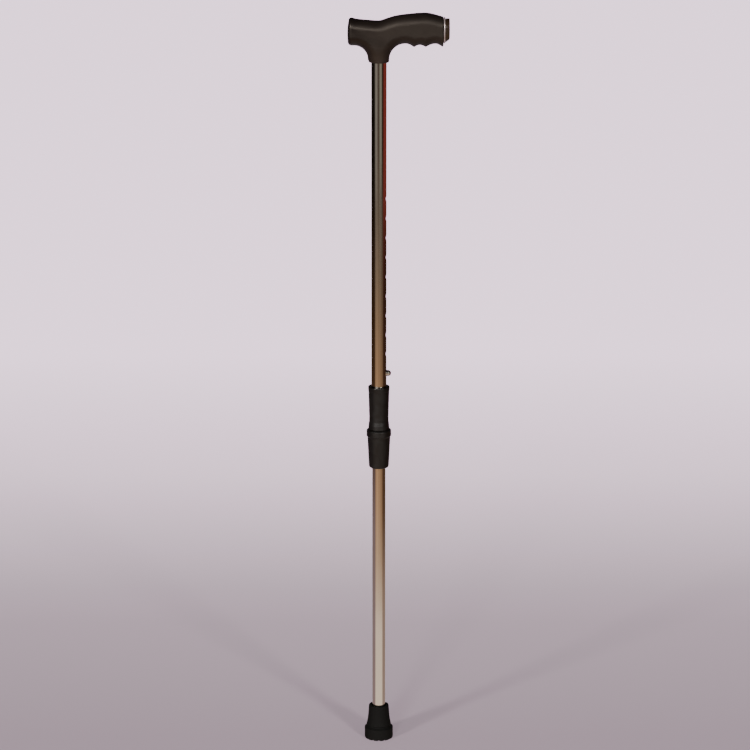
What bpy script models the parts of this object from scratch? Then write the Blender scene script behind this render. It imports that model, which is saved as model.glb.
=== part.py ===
"""Adjustable single point cane: a derby handle on two telescoping tubes, with a lock nut and a rubber tip.

The origin is the middle of the tip's ground face, on the tubes' axis, with +Z up.
The handle's palm end points along +X and the snap button faces +X too.
The cane is modelled at its full height, with the snap button in the lowest hole.
"""

import math

import bmesh
import bpy
from mathutils import Matrix, Vector

MM = 0.001
GAP = 0.3 * MM  # between pieces that touch
ROUND_STEPS = 32  # sides of the larger round pieces
SMALL_STEPS = 16  # sides of holes, the button and the screw
CORNER_STEPS = 2  # segments of a rounded corner in a turned outline
SHARP_EDGE = math.radians(35)

# Tubes and height adjustment
UPPER_OD = 19.6 * MM
UPPER_WALL = 0.85 * MM
LOWER_OD = 17.3 * MM
LOWER_WALL = 1.0 * MM
LOWEST_HOLE_Z = 498.7 * MM
HOLE_PITCH = 25.4 * MM
HOLE_COUNT = 10
BUTTON_R = 3.95 * MM
BUTTON_PROUD = 5.9 * MM
FLANGE_R = 4.7 * MM  # of the button, inside the tubes
DOME_STEPS = 5
HOLE_R = BUTTON_R + GAP
UPPER_TUBE_FOOT_Z = 432.0 * MM
LOWER_TUBE_TOP_Z = LOWEST_HOLE_Z + 41.3 * MM

# Handle: heights below are above the socket's rim
RIM_Z = 901.5 * MM
RIM_R = 12.5 * MM
SOCKET_DEPTH = 35.5 * MM
NOSE_X = -39.6 * MM
PALM_X = 80.5 * MM
FRONT_UNDERSIDE = 21.2 * MM
TOP_LINE = (
    (-37, 56.0), (-28, 54.5), (-14, 53.35), (1, 52.7), (11, 55.85),
    (20, 58.5), (30, 60.15), (50, 62.05), (62, 61.95), (80.5, 57.3),
)
FINGER_LINE = (
    (33.0, 23.6), (43.9, 19.2), (50.9, 22.0), (58.3, 19.3), (70.3, 23.5), (79.3, 19.5), (82, 20.0),
)
HALF_WIDTHS = ((-40.4, 12.4), (-20, 13.6), (0, 14.2), (22, 14.6), (50, 15.6), (64, 15.4), (80.5, 14.4))
NECK_CURVE_Z = 3.5 * MM  # where the neck starts to spread into the arms
FRONT_FILLET = (-31.0 * MM, 17.0 * MM)  # its centre along X, and its half width
REAR_FILLET = (33.0 * MM, 20.1 * MM)
ROUNDING = 12.5 * MM  # how far in from the outline the handle's sides become flat
NECK_HEIGHTS = (3.5, 6, 9, 12, 14.5, 17, 19, 20.2, 20.9, 21.7, 23.1, 24.3, 27, 30, 33)  # in mm
NECK_FULL_HEIGHT = 20.0 * MM  # where the neck is as wide as the arms
NECK_INSIDE = 0.15 * MM  # how far the neck's top stays inside the arms' sides
SECTION_SIDES = 28
OVAL_POWER = 2.5  # 2 is an ellipse, and more is squarer
END_RADIUS = 3.6 * MM
NOSE_STEPS = 3
PALM_BORE_HALF = (13.8 * MM, 10.8 * MM)  # half height and half width of the hollow in the palm arm
PALM_BORE_MID = 40.5 * MM
PALM_BORE_X = 22.0 * MM
SCREW_HEIGHT = 15.0 * MM
SCREW_HEAD_Y = 13.5 * MM
SCREW_HEAD_R = 3.5 * MM
SCREW_SHANK_R = 1.75 * MM

# Collar
SLEEVE_TOP_Z = 481.6 * MM
SLEEVE_FOOT_Z = 424.6 * MM
SPIGOT_FOOT_Z = 396.0 * MM
SPIGOT_R = 11.7 * MM
NUT_TOP_Z = 424.2 * MM
NUT_FOOT_Z = 372.8 * MM
NUT_BORE_R = SPIGOT_R + 0.4 * MM
CLAMP_CONE = ((10.6 * MM, 378.5 * MM), (12.1 * MM, 394.5 * MM))  # the nut's seat, as radius and height

# Tip
TIP_TOP_Z = 45.8 * MM
TIP_FOOT_R = 18.6 * MM
TIP_FLOOR_Z = 4.9 * MM
WASHER_THICKNESS = 1.5 * MM
TREAD_SLOTS = 14
TREAD_DEPTH = 1.8 * MM
SLOT_WIDTH = 2.6 * MM

UPPER_R = UPPER_OD / 2
UPPER_BORE_R = UPPER_R - UPPER_WALL
LOWER_R = LOWER_OD / 2
LOWER_BORE_R = LOWER_R - LOWER_WALL
LOWER_TUBE_FOOT_Z = TIP_FLOOR_Z + WASHER_THICKNESS + 2 * GAP
SPRING_WIDTH = 8.0 * MM
SPRING_THICKNESS = 0.7 * MM
BUTTON_LEG_X = 4.25 * MM  # middle of the leaf that carries the button
REST_LEG_X = -5.85 * MM

COLOURS = {  # colour, metallic, roughness
    "handle_black": ((0.036, 0.029, 0.024), 0.0, 0.42),
    "trim_bright": ((0.70, 0.68, 0.66), 1.0, 0.15),
    "cap_bronze": ((0.060, 0.036, 0.022), 0.6, 0.22),
    "tube_polished": ((0.78, 0.73, 0.64), 1.0, 0.12),
    "collar_black": ((0.020, 0.016, 0.015), 0.0, 0.45),
    "bush_nylon": ((0.62, 0.61, 0.57), 0.0, 0.50),
    "zinc_steel": ((0.50, 0.50, 0.51), 1.0, 0.35),
    "tip_rubber": ((0.012, 0.012, 0.011), 0.0, 0.75),
}


def clear_scene():
    for existing in list(bpy.data.objects):
        bpy.data.objects.remove(existing, do_unlink=True)


def material(name):
    """The named finish, made once."""
    found = bpy.data.materials.get(name)
    if found:
        return found
    colour, metallic, roughness = COLOURS[name]
    made = bpy.data.materials.new(name)
    made.use_nodes = True
    shader = made.node_tree.nodes["Principled BSDF"]
    shader.inputs["Base Color"].default_value = (*colour, 1.0)
    shader.inputs["Metallic"].default_value = metallic
    shader.inputs["Roughness"].default_value = roughness
    made.diffuse_color = (*colour, 1.0)
    return made


def object_from(name, bm, finish=None):
    """Turns a bmesh into a smooth-shaded object in the scene."""
    mesh = bpy.data.meshes.new(name)
    bmesh.ops.recalc_face_normals(bm, faces=bm.faces)
    bm.to_mesh(mesh)
    bm.free()
    mesh.shade_smooth()
    mesh.set_sharp_from_angle(angle=SHARP_EDGE)
    made = bpy.data.objects.new(name, mesh)
    bpy.context.scene.collection.objects.link(made)
    if finish:
        mesh.materials.append(material(finish))
    return made


def as_cutter(made):
    made.hide_render = True
    made.display_type = "WIRE"
    return made


def boolean(body, other, operation="DIFFERENCE"):
    """Adds an exact Boolean to body, and marks other as its guide."""
    modifier = body.modifiers.new(operation.lower(), "BOOLEAN")
    modifier.operation = operation
    modifier.solver = "EXACT"
    modifier.object = as_cutter(other)
    return body


def rounded(points):
    """An outline of (radius, height) or (radius, height, corner radius), with those corners rounded."""
    outline = []
    count = len(points)
    for i, point in enumerate(points):
        here = Vector(point[:2])
        corner = point[2] if len(point) > 2 else 0.0
        if corner == 0.0:
            outline.append(here)
            continue
        before = (Vector(points[i - 1][:2]) - here).normalized()
        after = (Vector(points[(i + 1) % count][:2]) - here).normalized()
        half = before.angle(after) / 2
        reach = corner / math.tan(half)
        middle = here + (before + after).normalized() * (corner / math.sin(half))
        start = here + before * reach - middle
        end = here + after * reach - middle
        turn = start.angle_signed(end)
        for step in range(CORNER_STEPS + 1):
            spoke = start.copy()
            spoke.rotate(Matrix.Rotation(-turn * step / CORNER_STEPS, 2))
            outline.append(middle + spoke)
    return outline


def turned(name, points, finish=None, steps=ROUND_STEPS, closed=True):
    """A piece turned about Z from an outline that runs down its outer side.

    A closed outline makes a ring or tube; an open one starts and ends on the axis.
    """
    mesh = bpy.data.meshes.new(name)
    bm = bmesh.new()
    ring = [bm.verts.new((p[0], 0.0, p[1])) for p in rounded(points)]
    pairs = list(zip(ring, ring[1:]))
    if closed:
        pairs.append((ring[-1], ring[0]))
    for a, b in pairs:
        bm.edges.new((a, b))
    bm.to_mesh(mesh)
    bm.free()
    made = bpy.data.objects.new(name, mesh)
    bpy.context.scene.collection.objects.link(made)
    screw = made.modifiers.new("turn", "SCREW")
    screw.axis = "Z"
    screw.steps = steps
    screw.render_steps = steps
    screw.use_merge_vertices = True
    screw.merge_threshold = 0.00001
    screw.use_smooth_shade = True
    if finish:
        mesh.materials.append(material(finish))
    return made


def oval(middle, half_height, half_width, sides):
    """Points (across, up) round a squarish oval, starting at its widest point."""
    for i in range(sides):
        angle = 2 * math.pi * i / sides
        c, s = math.cos(angle), math.sin(angle)
        across = math.copysign(abs(c) ** (2 / OVAL_POWER), c) * half_width
        up = math.copysign(abs(s) ** (2 / OVAL_POWER), s) * half_height
        yield across, middle + up


def flat_sided(low, high, half_width):
    """Points (across, up) round a section with flat sides and half-elliptical ends."""
    depth = min(ROUNDING, (high - low) / 2 - 0.05 * MM)
    half = SECTION_SIDES // 2
    for end, start in ((high - depth, 0), (low + depth, half)):
        for step in range(half + 1):
            angle = 2 * math.pi * (start + step) / SECTION_SIDES
            yield math.cos(angle) * half_width, end + math.sin(angle) * depth


def loft(name, rings, finish=None):
    """A closed solid through rings of points, each ring a list of equal length."""
    bm = bmesh.new()
    loops = [[bm.verts.new(p) for p in ring] for ring in rings]
    for low, high in zip(loops, loops[1:]):
        for i in range(len(low)):
            j = (i + 1) % len(low)
            bm.faces.new((low[i], low[j], high[j], high[i]))
    bm.faces.new(loops[0])
    bm.faces.new(loops[-1])
    return object_from(name, bm, finish)


def prism(name, outline, depth, finish=None):
    """A flat outline of (x, z) points pulled evenly to both sides of the XZ plane."""
    bm = bmesh.new()
    face = bm.faces.new([bm.verts.new((x, -depth / 2, z)) for x, z in outline])
    pulled = bmesh.ops.extrude_face_region(bm, geom=[face])
    moved = [v for v in pulled["geom"] if isinstance(v, bmesh.types.BMVert)]
    bmesh.ops.translate(bm, vec=(0, depth, 0), verts=moved)
    return object_from(name, bm, finish)


def rod_cutter(name, radius, start, end, steps=SMALL_STEPS):
    """A round cutter between two points."""
    start, end = Vector(start), Vector(end)
    along = end - start
    bm = bmesh.new()
    place = Matrix.Translation((start + end) / 2) @ along.to_track_quat("Z", "Y").to_matrix().to_4x4()
    bmesh.ops.create_cone(
        bm, cap_ends=True, segments=steps, radius1=radius, radius2=radius, depth=along.length, matrix=place
    )
    return object_from(name, bm)


def join_meshes(name, parts):
    """One object holding the separate shells of several, for cutting them in one go."""
    bm = bmesh.new()
    for part in parts:
        bm.from_mesh(part.data)
        bpy.data.objects.remove(part, do_unlink=True)
    return object_from(name, bm)


def spline_height(line, x):
    """The height at x of a smooth curve through a line's points, all in millimetres."""
    last = len(line) - 2
    i = next((k for k in range(last) if x <= line[k + 1][0]), last)
    (x0, z0), (x1, z1) = line[i], line[i + 1]
    before = line[i - 1] if i > 0 else line[0]
    after = line[i + 2] if i < last else line[-1]
    slope0 = (z1 - before[1]) / (x1 - before[0])
    slope1 = (after[1] - z0) / (after[0] - x0)
    span = x1 - x0
    t = (x - x0) / span
    return (
        z0 * (1 + 2 * t) * (1 - t) ** 2
        + slope0 * span * t * (1 - t) ** 2
        + z1 * t * t * (3 - 2 * t)
        - slope1 * span * t * t * (1 - t)
    )


def finger_height(x):
    """The underside of the palm arm, in millimetres: round grooves between narrow ridges."""
    i = next((k for k in range(len(FINGER_LINE) - 2) if x <= FINGER_LINE[k + 1][0]), len(FINGER_LINE) - 2)
    (x0, z0), (x1, z1) = FINGER_LINE[i], FINGER_LINE[i + 1]
    t = min(max((x - x0) / (x1 - x0), 0.0), 1.0)
    if z0 < z1:
        return z0 + (z1 - z0) * math.sin(math.pi / 2 * t)
    return z1 + (z0 - z1) * math.cos(math.pi / 2 * t)


def arm_half_width(x):
    return spline_height(HALF_WIDTHS, x / MM) * MM


def arm_section(x, inset):
    """The handle's section across X at x, in metres, pulled in by inset."""
    top = spline_height(TOP_LINE, x / MM) * MM
    front, rear = FRONT_FILLET[0], REAR_FILLET[0]
    share = min(max((x - front) / (rear - front), 0.0), 1.0)
    under = FRONT_UNDERSIDE + (FINGER_LINE[0][1] * MM - FRONT_UNDERSIDE) * share
    if x > rear:
        under = finger_height(x / MM) * MM
    section = flat_sided(under + inset, top - inset, arm_half_width(x) - inset)
    return [(x, across, RIM_Z + up) for across, up in section]


def arm_stations():
    """Places along X with how far the section is pulled in there, for the rounded ends."""
    stations = []
    for step in range(NOSE_STEPS + 1):
        angle = math.pi / 2 * step / NOSE_STEPS
        stations.append((NOSE_X + END_RADIUS * (1 - math.cos(angle)), END_RADIUS * (1 - math.sin(angle))))
    plain = [-31, -24, -17, -10, -4, 1, 5, 8, 11, 15, 20, 26, 33]
    fingers = [36.6, 40.3, 43.9, 47.4, 50.9, 54.6, 58.3, 62.3, 66.3, 70.3, 73.3, 76.3, 78.3]
    stations += [(x * MM, 0.0) for x in plain + fingers]
    stations += [(PALM_X - 1.2 * MM, 0.0), (PALM_X - 0.4 * MM, 0.35 * MM), (PALM_X, 1.1 * MM)]
    return stations


def fillet_reach(height, fillet):
    """How far from the fillet's centre its curve is, along X, at a height above the rim."""
    share = min(max((height - NECK_CURVE_Z) / (FRONT_UNDERSIDE - NECK_CURVE_Z), 0.0), 1.0)
    return fillet[1] * math.sqrt(max(1.0 - share * share, 0.0))


def neck_section(height):
    """The neck's level section at a height above the rim."""
    front = FRONT_FILLET[0] + fillet_reach(height, FRONT_FILLET)
    scale = (FRONT_UNDERSIDE - NECK_CURVE_Z) / (FINGER_LINE[0][1] * MM - NECK_CURVE_Z)
    rear_height = NECK_CURVE_Z + (height - NECK_CURVE_Z) * scale
    rear = REAR_FILLET[0] - fillet_reach(rear_height, REAR_FILLET)
    if height < NECK_CURVE_Z:
        share = height / NECK_CURVE_Z
        front = -RIM_R + (front + RIM_R) * share
        rear = RIM_R + (rear - RIM_R) * share
    share = min(height / NECK_FULL_HEIGHT, 1.0)
    share = share * share * (3 - 2 * share)
    ring = []
    for across, x in flat_sided(front, rear, 1.0):
        width = RIM_R + (arm_half_width(x) - NECK_INSIDE - RIM_R) * share
        ring.append((x, across * width, RIM_Z + height))
    return ring


def handle_grip():
    """The moulded handle: two arms, a neck with a socket for the tube, and a hollow palm arm."""
    grip = loft("handle_grip", [arm_section(*s) for s in arm_stations()], "handle_black")
    edge = [(height * MM, inset * MM) for height, inset in ((0, 1.2), (0.35, 0.35), (1.2, 0))]
    rings = []
    for height, inset in edge:
        shrink = 1 - inset / RIM_R
        rings.append([(x * shrink, y * shrink, z) for x, y, z in neck_section(height)])
    rings += [neck_section(height * MM) for height in NECK_HEIGHTS]
    boolean(grip, loft("neck_guide", rings), "UNION")
    socket_top = RIM_Z + SOCKET_DEPTH
    socket_ends = ((0, 0, RIM_Z - MM), (0, 0, socket_top))
    boolean(grip, rod_cutter("socket_cutter", UPPER_R + GAP, *socket_ends, ROUND_STEPS))
    half_height, half_width = PALM_BORE_HALF
    bore = []
    for x, taper in ((PALM_BORE_X, 0.82), (PALM_X + MM, 1.0)):
        section = oval(PALM_BORE_MID, half_height * taper, half_width * taper, SMALL_STEPS)
        bore.append([(x, y, RIM_Z + z) for y, z in section])
    boolean(grip, loft("palm_bore_cutter", bore))
    boolean(grip, screw_shape("handle_screw_hole", GAP))
    return grip


def screw_shape(name, grow=0.0, finish=None):
    """The handle's self-tapping screw along Y, or the hole for it when grown."""
    shank, head = SCREW_SHANK_R + grow, SCREW_HEAD_R + grow
    top = SCREW_HEAD_Y + (2.0 * MM if grow else 0.0)
    cone = SCREW_HEAD_R - SCREW_SHANK_R
    outline = [
        (0.0, top),
        (head, top),
        (head, SCREW_HEAD_Y - 0.4 * MM - grow),
        (shank, SCREW_HEAD_Y - 0.4 * MM - cone - grow),
        (shank, 2.5 * MM - grow),
        (0.0, 1.0 * MM - grow),
    ]
    made = turned(name, outline, finish, SMALL_STEPS, closed=False)
    made.rotation_euler = (-math.pi / 2, 0, 0)
    made.location = (0, 0, RIM_Z + SCREW_HEIGHT)
    return made


def handle_screw():
    screw = screw_shape("handle_screw", finish="zinc_steel")
    slot_y = SCREW_HEAD_Y - 0.9 * MM
    long, thick = 2.0 * MM, 0.4 * MM
    outline = [(-long, -thick), (long, -thick), (long, thick), (-long, thick)]
    for number in range(2):
        arm = prism(f"screw_cross_{number + 1}", outline, 2 * MM)
        arm.data.transform(Matrix.Rotation(math.pi / 2 * number, 4, "Y"))
        arm.data.transform(Matrix.Translation((0, slot_y + MM, RIM_Z + SCREW_HEIGHT)))
        boolean(screw, arm)
    return screw


def oval_ring_section(x, middle, half_height, half_width):
    return [(x, y, RIM_Z + z) for y, z in oval(middle, half_height, half_width, SECTION_SIDES)]


def handle_end_ring():
    """The bright trim ring between the palm arm and its end cap."""
    x0, x1 = PALM_X + GAP, PALM_X + 2.2 * MM
    middle, high, wide = 40.3 * MM, 16.2 * MM, 13.4 * MM
    stations = ((x0, 0.7 * MM), (x0 + 0.35 * MM, 0.2 * MM), (x0 + 0.9 * MM, 0.0))
    stations += ((x1 - 0.9 * MM, 0.0), (x1 - 0.35 * MM, 0.2 * MM), (x1, 0.7 * MM))
    rings = [oval_ring_section(x, middle, high - inset, wide - inset) for x, inset in stations]
    ring = loft("handle_end_ring", rings, "trim_bright")
    half_height, half_width = PALM_BORE_HALF
    hole = [oval_ring_section(x, PALM_BORE_MID, half_height, half_width) for x in (x0 - MM, x1 + MM)]
    return boolean(ring, loft("end_ring_cutter", hole))


def handle_end_cap():
    """The domed cap that closes the palm arm, with a hollow plug that grips the bore."""
    x0, x1 = PALM_X + 2.5 * MM, PALM_X + 7.8 * MM
    stations = (  # along X, middle, half height, half width
        (x0, 40.0, 14.6, 12.2),
        (x0 + 0.4 * MM, 40.0, 15.0, 12.6),
        (x0 + 1.2 * MM, 40.2, 14.8, 12.6),
        (x1 - 1.2 * MM, 41.6, 13.2, 12.3),
        (x1 - 0.3 * MM, 42.2, 12.3, 11.6),
        (x1, 42.4, 11.4, 10.4),
    )
    rings = [oval_ring_section(x, m * MM, h * MM, w * MM) for x, m, h, w in stations]
    cap = loft("handle_end_cap", rings, "cap_bronze")
    half_height, half_width = PALM_BORE_HALF
    plug_x = PALM_X - 10.0 * MM
    plug = [
        oval_ring_section(x, PALM_BORE_MID, half_height - inset, half_width - inset)
        for x, inset in ((plug_x, 1.4 * MM), (plug_x + MM, 1.0 * MM), (x0 + MM, 0.6 * MM))
    ]
    boolean(cap, loft("cap_plug_guide", plug), "UNION")
    hollow = [
        oval_ring_section(x, PALM_BORE_MID, half_height - 2.8 * MM, half_width - 2.8 * MM)
        for x in (plug_x - MM, x0)
    ]
    return boolean(cap, loft("cap_hollow_cutter", hollow))


def upper_tube():
    """The outer tube, with its row of adjustment holes and the screw's hole."""
    top = RIM_Z + SOCKET_DEPTH - GAP
    tube = turned(
        "upper_tube",
        [
            (UPPER_R, top),
            (UPPER_R, UPPER_TUBE_FOOT_Z),
            (UPPER_BORE_R, UPPER_TUBE_FOOT_Z),
            (UPPER_BORE_R, top),
        ],
        "tube_polished",
    )
    holes = []
    for number in range(HOLE_COUNT):
        z = LOWEST_HOLE_Z + number * HOLE_PITCH
        holes.append(rod_cutter("hole", HOLE_R, (4 * MM, 0, z), (14 * MM, 0, z)))
    boolean(tube, join_meshes("hole_row_cutter", holes))
    z = RIM_Z + SCREW_HEIGHT
    return boolean(tube, rod_cutter("tube_screw_hole", SCREW_SHANK_R + GAP, (0, 4 * MM, z), (0, 14 * MM, z)))


def tube_top_plug():
    """The plug that keeps the tube from collapsing and gives the handle's screw something to bite."""
    top = RIM_Z + SOCKET_DEPTH - 2 * GAP
    r = UPPER_BORE_R - GAP
    plug = turned(
        "tube_top_plug",
        [(0, top), (r, top, 0.8 * MM), (r, RIM_Z + 4 * MM, 0.8 * MM), (0, RIM_Z + 4 * MM)],
        "bush_nylon",
        closed=False,
    )
    z = RIM_Z + SCREW_HEIGHT
    return boolean(plug, rod_cutter("plug_screw_hole", SCREW_SHANK_R + GAP, (0, 0, z), (0, 14 * MM, z)))


def collar_sleeve():
    """The sleeve fixed on the upper tube's foot, with the spigot that the lock nut screws onto."""
    foot, seat = SLEEVE_FOOT_Z, UPPER_R + GAP
    return turned(
        "collar_sleeve",
        [
            (13.95 * MM, SLEEVE_TOP_Z, 1.1 * MM),
            (13.65 * MM, 475.6 * MM),
            (13.4 * MM, 475.0 * MM),
            (12.45 * MM, 439.5 * MM),
            (12.65 * MM, 434.5 * MM),
            (13.3 * MM, 429.5 * MM),
            (13.55 * MM, foot, 0.5 * MM),
            (SPIGOT_R, foot),
            (SPIGOT_R, SPIGOT_FOOT_Z, 0.6 * MM),
            (LOWER_R + GAP, SPIGOT_FOOT_Z),
            (LOWER_R + GAP, UPPER_TUBE_FOOT_Z - GAP),
            (seat, UPPER_TUBE_FOOT_Z - GAP),
            (seat, SLEEVE_TOP_Z - 0.5 * MM),
            (seat + 0.5 * MM, SLEEVE_TOP_Z),
        ],
        "collar_black",
    )


def cone_radius(z):
    """The nut's inner seat at a height."""
    (r0, z0), (r1, z1) = CLAMP_CONE
    return r0 + (r1 - r0) * (z - z0) / (z1 - z0)


def lock_nut():
    """The nut that draws the split clamp ring up and squeezes it onto the lower tube."""
    (seat_r, seat_z), (_, bore_z) = CLAMP_CONE
    return turned(
        "lock_nut",
        [
            (14.4 * MM, NUT_TOP_Z, 0.3 * MM),
            (15.9 * MM, 422.6 * MM, 0.5 * MM),
            (15.9 * MM, 415.6 * MM, 0.6 * MM),
            (14.75 * MM, 414.3 * MM, 0.3 * MM),
            (12.75 * MM, NUT_FOOT_Z, 2.6 * MM),
            (LOWER_R + 0.5 * MM, NUT_FOOT_Z, 0.3 * MM),
            (LOWER_R + 0.5 * MM, seat_z),
            (seat_r, seat_z),
            (NUT_BORE_R, bore_z),
            (NUT_BORE_R, NUT_TOP_Z - 0.6 * MM),
            (NUT_BORE_R + 0.5 * MM, NUT_TOP_Z),
        ],
        "collar_black",
    )


def clamp_ring():
    """The split ring inside the nut: its cone closes the slit round the lower tube."""
    low, high = CLAMP_CONE[0][1] + GAP, SPIGOT_FOOT_Z - GAP
    ring = turned(
        "clamp_ring",
        [
            (cone_radius(high - 1.2 * MM) - GAP, high, 0.3 * MM),
            (cone_radius(high - 1.5 * MM) - GAP, high - 1.5 * MM),
            (cone_radius(low) - GAP, low, 0.3 * MM),
            (LOWER_R + GAP, low),
            (LOWER_R + GAP, high),
        ],
        "bush_nylon",
    )
    slit = [(-1.0 * MM, low - MM), (1.0 * MM, low - MM), (1.0 * MM, high + MM), (-1.0 * MM, high + MM)]
    cutter = prism("clamp_slit_cutter", slit, 8 * MM)
    cutter.data.transform(Matrix.Translation((0, 10.5 * MM, 0)))
    return boolean(ring, cutter)


def lower_tube():
    """The inner tube, with one hole for the snap button."""
    tube = turned(
        "lower_tube",
        [
            (LOWER_R, LOWER_TUBE_TOP_Z),
            (LOWER_R, LOWER_TUBE_FOOT_Z),
            (LOWER_BORE_R, LOWER_TUBE_FOOT_Z),
            (LOWER_BORE_R, LOWER_TUBE_TOP_Z),
        ],
        "tube_polished",
    )
    z = LOWEST_HOLE_Z
    return boolean(tube, rod_cutter("lower_hole_cutter", HOLE_R, (4 * MM, 0, z), (12 * MM, 0, z)))


def guide_bush():
    """The bush in the lower tube's head, which keeps it central in the upper tube."""
    rim, stem = LOWER_TUBE_TOP_Z + GAP, LOWER_BORE_R - GAP
    return turned(
        "guide_bush",
        [
            (UPPER_BORE_R - GAP, rim + 5 * MM, 0.8 * MM),
            (UPPER_BORE_R - GAP, rim),
            (stem, rim),
            (stem, rim - 16 * MM, 0.6 * MM),
            (5.6 * MM, rim - 16 * MM),
            (5.6 * MM, rim + 5 * MM),
        ],
        "bush_nylon",
    )


def snap_button():
    """The domed button on its spring leaf, standing out through both tubes at +X."""
    face = BUTTON_LEG_X + SPRING_THICKNESS / 2 + GAP
    tip = UPPER_R + BUTTON_PROUD
    outline = []
    for step in range(DOME_STEPS + 1):
        angle = math.pi / 2 * step / DOME_STEPS
        outline.append((BUTTON_R * math.sin(angle), tip - BUTTON_R * (1 - math.cos(angle))))
    outline += [
        (BUTTON_R, face + 1.0 * MM),
        (FLANGE_R, face + 1.0 * MM),
        (FLANGE_R, face),
        (1.2 * MM, face),
        (1.2 * MM, face - 1.8 * MM),
        (0.0, face - 1.8 * MM),
    ]
    button = turned("snap_button", outline, "zinc_steel", SMALL_STEPS, closed=False)
    button.rotation_euler = (0, math.pi / 2, 0)
    button.location = (0, 0, LOWEST_HOLE_Z)
    return button


def button_spring():
    """The V-shaped leaf spring in the lower tube: one leg carries the button, and one rests on the wall."""
    bend_z = LOWEST_HOLE_Z - 42 * MM
    bend_r = (BUTTON_LEG_X - REST_LEG_X) / 2 - 1.2 * MM
    bend_x = (BUTTON_LEG_X + REST_LEG_X) / 2
    path = [(BUTTON_LEG_X, LOWEST_HOLE_Z + 8 * MM), (BUTTON_LEG_X, LOWEST_HOLE_Z - 12 * MM)]
    for step in range(9):
        angle = math.pi * step / 8
        path.append((bend_x + bend_r * math.cos(angle), bend_z - bend_r * math.sin(angle)))
    path += [(REST_LEG_X, LOWEST_HOLE_Z - 24 * MM), (REST_LEG_X, LOWEST_HOLE_Z + 8 * MM)]
    spring = prism("button_spring", ribbon(path, SPRING_THICKNESS), SPRING_WIDTH, "zinc_steel")
    z = LOWEST_HOLE_Z
    return boolean(spring, rod_cutter("spring_hole_cutter", 1.2 * MM + GAP, (2 * MM, 0, z), (6 * MM, 0, z)))


def ribbon(path, thickness):
    """The outline of a strip of even thickness along a path of (x, z) points."""
    points = [Vector(p) for p in path]
    left, right = [], []
    for i, here in enumerate(points):
        before = points[max(i - 1, 0)]
        after = points[min(i + 1, len(points) - 1)]
        into = (here - before).normalized() if i > 0 else (after - here).normalized()
        out = (after - here).normalized() if i < len(points) - 1 else into
        along = (into + out).normalized()
        side = Vector((-along.y, along.x)) * (thickness / 2 / max(into.dot(along), 0.5))
        left.append(here + side)
        right.append(here - side)
    return [tuple(p) for p in left + right[::-1]]


def tip_washer():
    """The steel washer that stops the tube from cutting through the rubber."""
    low, high = TIP_FLOOR_Z + GAP, TIP_FLOOR_Z + GAP + WASHER_THICKNESS
    r = LOWER_R
    return turned("tip_washer", [(r, high), (r, low), (3.2 * MM, low), (3.2 * MM, high)], "zinc_steel")


def rubber_tip():
    """The ferrule: a flared boot on a wide foot with a grooved, notched tread."""
    tread = TREAD_DEPTH
    outline = [
        (0.0, TIP_TOP_Z),
        (13.0 * MM, TIP_TOP_Z, 2.0 * MM),
        (13.5 * MM, 37.0 * MM),
        (14.1 * MM, 30.0 * MM),
        (14.7 * MM, 25.5 * MM),
        (15.3 * MM, 22.3 * MM),
        (16.0 * MM, 18.9 * MM),
        (15.5 * MM, 17.8 * MM),
        (16.2 * MM, 16.7 * MM),
        (TIP_FOOT_R, 14.6 * MM, 0.5 * MM),
        (TIP_FOOT_R, 0.0, 1.2 * MM),
        (14.6 * MM, 0.0),
        (14.2 * MM, tread),
        (12.4 * MM, tread),
        (12.0 * MM, 0.0),
        (9.6 * MM, 0.0),
        (9.2 * MM, tread),
        (7.4 * MM, tread),
        (7.0 * MM, 0.0),
        (0.0, 0.0),
    ]
    tip = turned("rubber_tip", outline, "tip_rubber", closed=False)
    bore_r = LOWER_R + GAP
    socket = [
        (0.0, TIP_TOP_Z + MM),
        (bore_r + 1.8 * MM, TIP_TOP_Z + MM),
        (bore_r, TIP_TOP_Z - 0.8 * MM),
        (bore_r, TIP_FLOOR_Z),
        (0.0, TIP_FLOOR_Z),
    ]
    boolean(tip, turned("tip_socket_cutter", socket, closed=False))
    inner, outer = 15.2 * MM, TIP_FOOT_R + MM
    slot_outline = [(inner, -MM), (outer, -MM), (outer, tread), (inner, tread)]
    slots = []
    for number in range(TREAD_SLOTS):
        slot = prism("slot", slot_outline, SLOT_WIDTH)
        slot.data.transform(Matrix.Rotation(2 * math.pi * (number + 0.5) / TREAD_SLOTS, 4, "Z"))
        slots.append(slot)
    return boolean(tip, join_meshes("tread_slot_cutter", slots))


def build():
    clear_scene()
    handle_grip()
    handle_screw()
    handle_end_ring()
    handle_end_cap()
    upper_tube()
    tube_top_plug()
    collar_sleeve()
    lock_nut()
    clamp_ring()
    lower_tube()
    guide_bush()
    snap_button()
    button_spring()
    tip_washer()
    rubber_tip()


build()
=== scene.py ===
"""Looks of the adjustable single point cane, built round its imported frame.

Lengths are in metres unless a name ends in MM. The tubes stand on the Z axis, the handle's palm end points
along +X, and the camera looks along +Y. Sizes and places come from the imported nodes' own boxes.
"""

import itertools
import math

import bmesh
import bpy
import numpy as np
from mathutils import Matrix, Vector


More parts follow.
